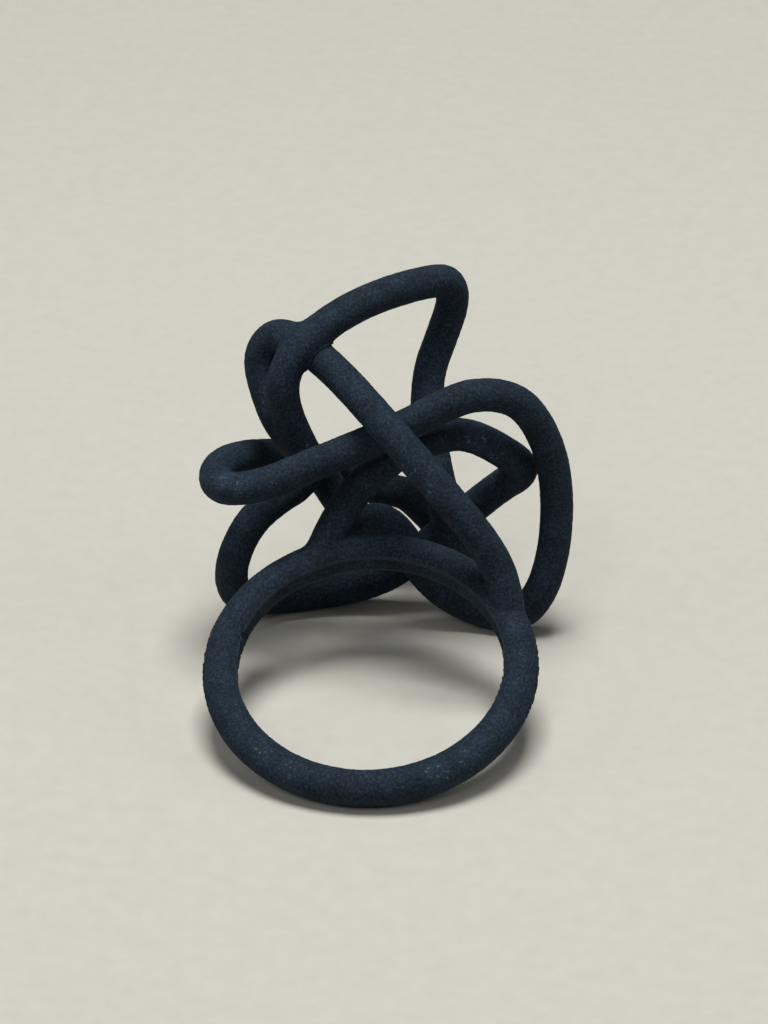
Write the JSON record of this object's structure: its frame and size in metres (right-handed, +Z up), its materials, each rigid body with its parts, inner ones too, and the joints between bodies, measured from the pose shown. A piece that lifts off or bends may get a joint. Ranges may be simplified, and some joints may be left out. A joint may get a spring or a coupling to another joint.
{
  "type": "finger ring",
  "caption": "Slim round finger band carrying an open, wandering tangle of round rod above the finger.",
  "frame": {"origin": "centre of the finger bore, in the middle of the band's width", "axes": "+Z up with the ring lying as it rests on a table, +Y from the near arc of the band towards the tangle, +X to the right seen from the near arc"},
  "size_m": [0.0244, 0.0334, 0.0234],
  "materials": {
    "dyed_nylon": "matt, grainy sintered nylon, dyed through in a blue so dark that it is nearly black"
  },
  "bodies": {
    "root": {"finger_band": "dyed_nylon", "front_arch": "dyed_nylon", "ear_loop": "dyed_nylon", "inner_slope": "dyed_nylon", "right_foot": "dyed_nylon", "right_bow": "dyed_nylon", "cross_bar": "dyed_nylon", "left_loop": "dyed_nylon", "back_slope": "dyed_nylon", "low_hook": "dyed_nylon", "rear_post": "dyed_nylon", "crown_bend": "dyed_nylon", "crown_arch": "dyed_nylon", "left_stem": "dyed_nylon", "left_bend": "dyed_nylon", "left_bow": "dyed_nylon", "left_foot": "dyed_nylon", "right_spur": "dyed_nylon", "shoulder_strut": "dyed_nylon"}
  },
  "joints": []
}
